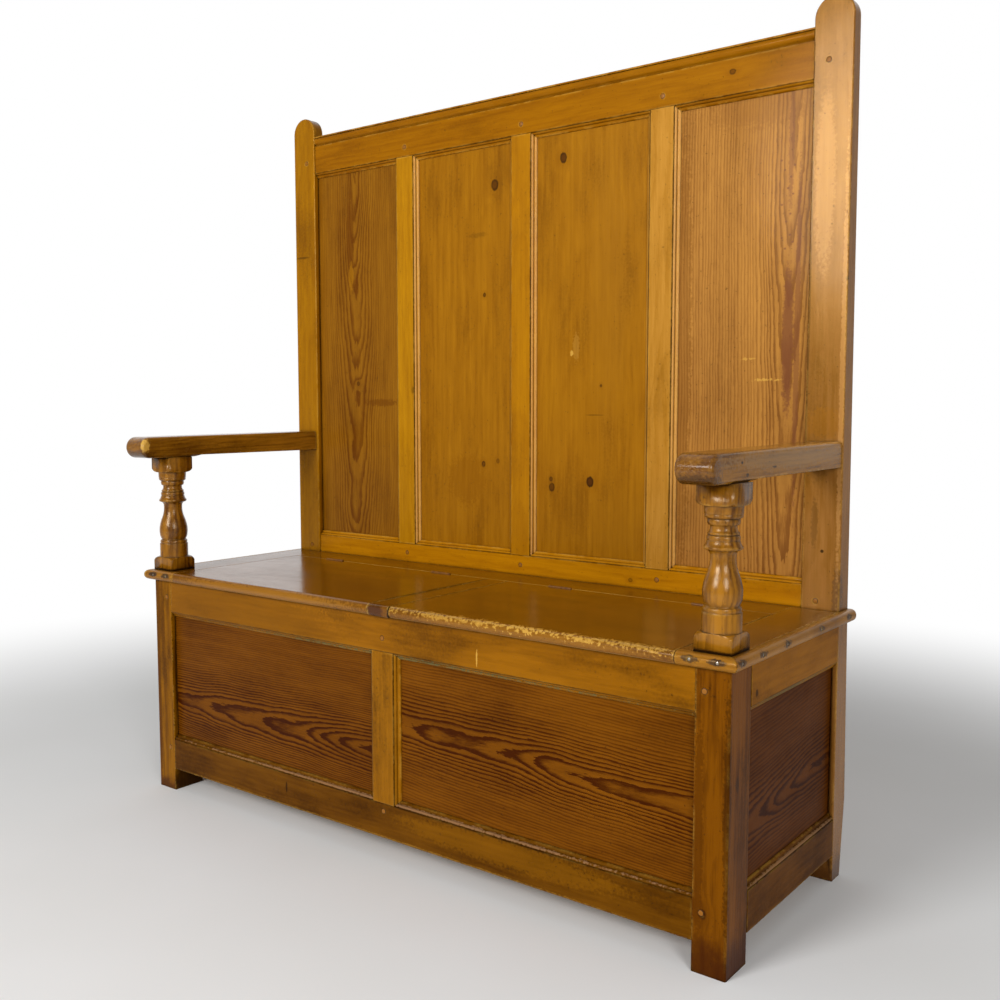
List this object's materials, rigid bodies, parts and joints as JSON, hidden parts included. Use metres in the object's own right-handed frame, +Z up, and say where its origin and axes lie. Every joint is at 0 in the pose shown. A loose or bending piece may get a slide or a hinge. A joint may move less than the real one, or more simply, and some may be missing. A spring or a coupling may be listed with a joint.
{
  "type": "settle bench",
  "caption": "High-backed box settle in old pine: panelled back with round-topped stiles, arms on turned supports, moulded frame, and hinged seat lids over a storage box.",
  "frame": {"origin": "on the floor, under the middle of the whole footprint", "axes": "+X to the right along the bench as seen from in front, +Y from the front to the back, +Z up"},
  "size_m": [1.32, 0.512, 1.4385],
  "materials": {
    "frame_pine": "old waxed pine, satin",
    "back_panel_pine": "old waxed pine, satin",
    "box_panel_pine": "old waxed pitch pine, satin",
    "seat_pine": "worn waxed pine, glossy",
    "arm_wood": "hand-worn waxed wood, glossy",
    "turned_wood": "waxed turned wood, glossy",
    "inner_pine": "bare sawn pine, dry",
    "peg_wood": "dark end grain, waxed",
    "nail_iron": "dark old iron",
    "hinge_iron": "dark old iron"
  },
  "bodies": {
    "frame": {"arm_left": "arm_wood", "arm_right": "arm_wood", "arm_support_left": "turned_wood", "arm_support_right": "turned_wood", "back_bottom_rail": "frame_pine", "back_cap_moulding": "frame_pine", "back_muntin_centre": "frame_pine", "back_muntin_left": "frame_pine", "back_muntin_right": "frame_pine", "back_panel_far_left": "back_panel_pine", "back_panel_far_right": "back_panel_pine", "back_panel_mid_left": "back_panel_pine", "back_panel_mid_right": "back_panel_pine", "back_seat_rail": "frame_pine", "back_stile_left": "frame_pine", "back_stile_right": "frame_pine", "back_top_rail": "frame_pine", "box_back_board_lower": "inner_pine", "box_back_board_upper": "inner_pine", "floor_bearers": "inner_pine", "floor_board_back": "inner_pine", "floor_board_front": "inner_pine", "floor_board_middle": "inner_pine", "front_bottom_rail": "frame_pine", "front_muntin": "frame_pine", "front_nosing_left": "seat_pine", "front_nosing_right": "seat_pine", "front_panel_left": "box_panel_pine", "front_panel_right": "box_panel_pine", "front_post_left": "frame_pine", "front_post_right": "frame_pine", "front_top_rail": "frame_pine", "hinge_fixed_leaves": "hinge_iron", "hinge_fixed_screws": "hinge_iron", "hinge_pins": "hinge_iron", "joint_pegs": "peg_wood", "nosing_nails": "nail_iron", "seat_back_strip": "seat_pine", "seat_bearer_left": "inner_pine", "seat_bearer_right": "inner_pine", "seat_centre_bearer": "inner_pine", "seat_centre_strip": "seat_pine", "seat_end_board_left": "seat_pine", "seat_end_board_right": "seat_pine", "side_bottom_rail_left": "frame_pine", "side_bottom_rail_right": "frame_pine", "side_nosing_left": "seat_pine", "side_nosing_right": "seat_pine", "side_panel_left": "box_panel_pine", "side_panel_right": "box_panel_pine", "side_top_rail_left": "frame_pine", "side_top_rail_right": "frame_pine"},
    "lid_left": {"lid_left": "seat_pine", "lid_left_battens": "inner_pine", "lid_left_hinge_leaves": "hinge_iron", "lid_left_hinge_screws": "hinge_iron"},
    "lid_right": {"lid_right": "seat_pine", "lid_right_battens": "inner_pine", "lid_right_hinge_leaves": "hinge_iron", "lid_right_hinge_screws": "hinge_iron"}
  },
  "joints": [
    {"name": "left_lid_hinge", "type": "hinge", "parent": "frame", "child": "lid_left", "pos_m": [-0.2935, 0.1255, 0.4565], "axis": [-1, 0, 0], "range_deg": [0, 102]},
    {"name": "right_lid_hinge", "type": "hinge", "parent": "frame", "child": "lid_right", "pos_m": [0.2975, 0.1255, 0.4565], "axis": [-1, 0, 0], "range_deg": [0, 102]}
  ]
}
